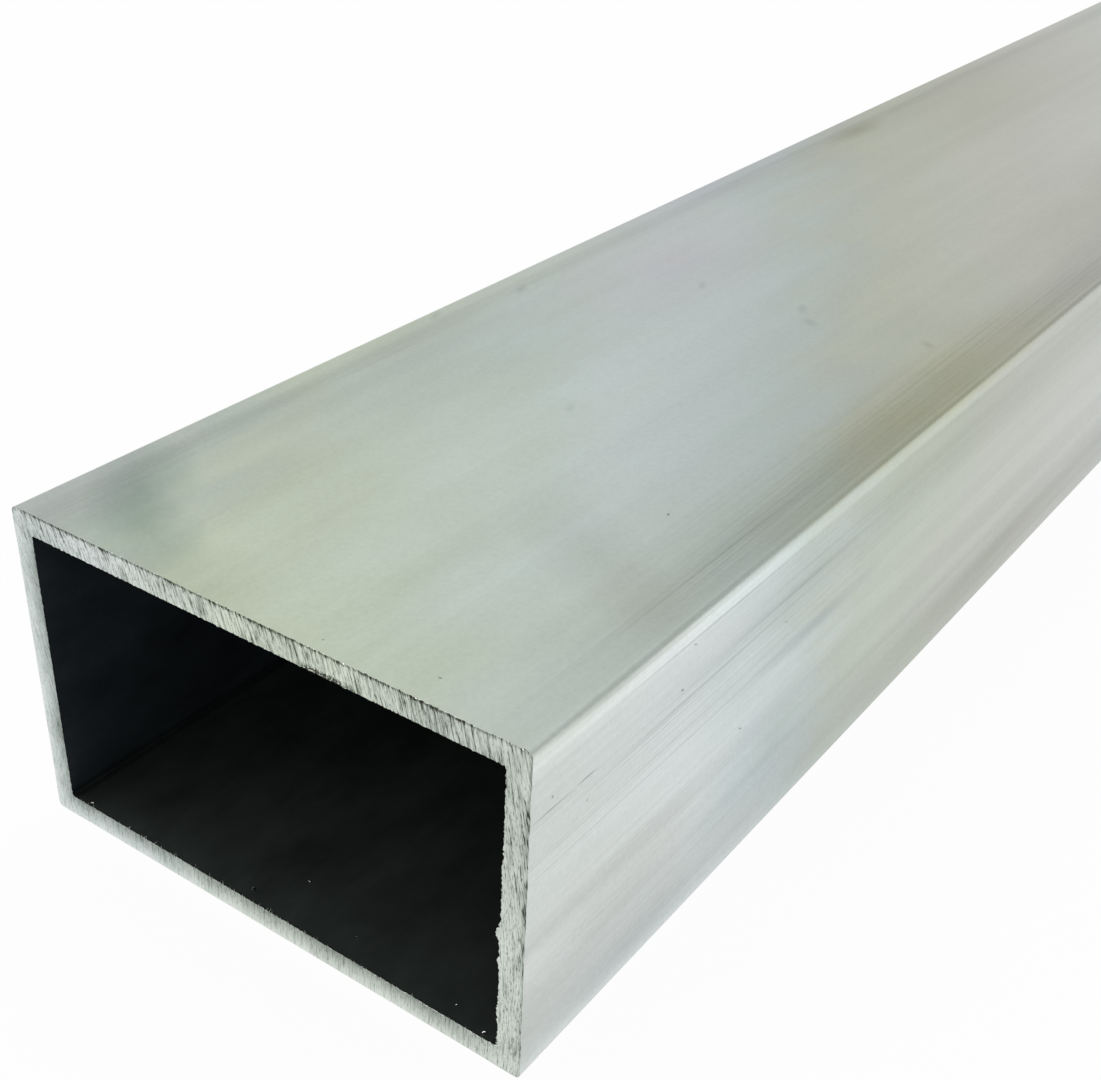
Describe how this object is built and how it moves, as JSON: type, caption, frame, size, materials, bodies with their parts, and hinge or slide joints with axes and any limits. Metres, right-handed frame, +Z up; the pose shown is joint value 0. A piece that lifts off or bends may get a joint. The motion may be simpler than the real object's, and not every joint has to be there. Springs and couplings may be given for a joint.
{
  "type": "rectangular tube",
  "caption": "Straight rectangular aluminium tube: extruded hollow section with even walls, near-sharp corners and square sawn ends, used as framing stock.",
  "frame": {"origin": "middle of the underside, halfway along the length", "axes": "+X along the length, +Y across the width, +Z up from the wide face that the tube lies on"},
  "size_m": [1, 0.05, 0.03],
  "materials": {
    "mill_aluminium": "mill finish, satin, with fine lengthwise die lines"
  },
  "bodies": {
    "root": {"tube": "mill_aluminium"}
  },
  "joints": []
}
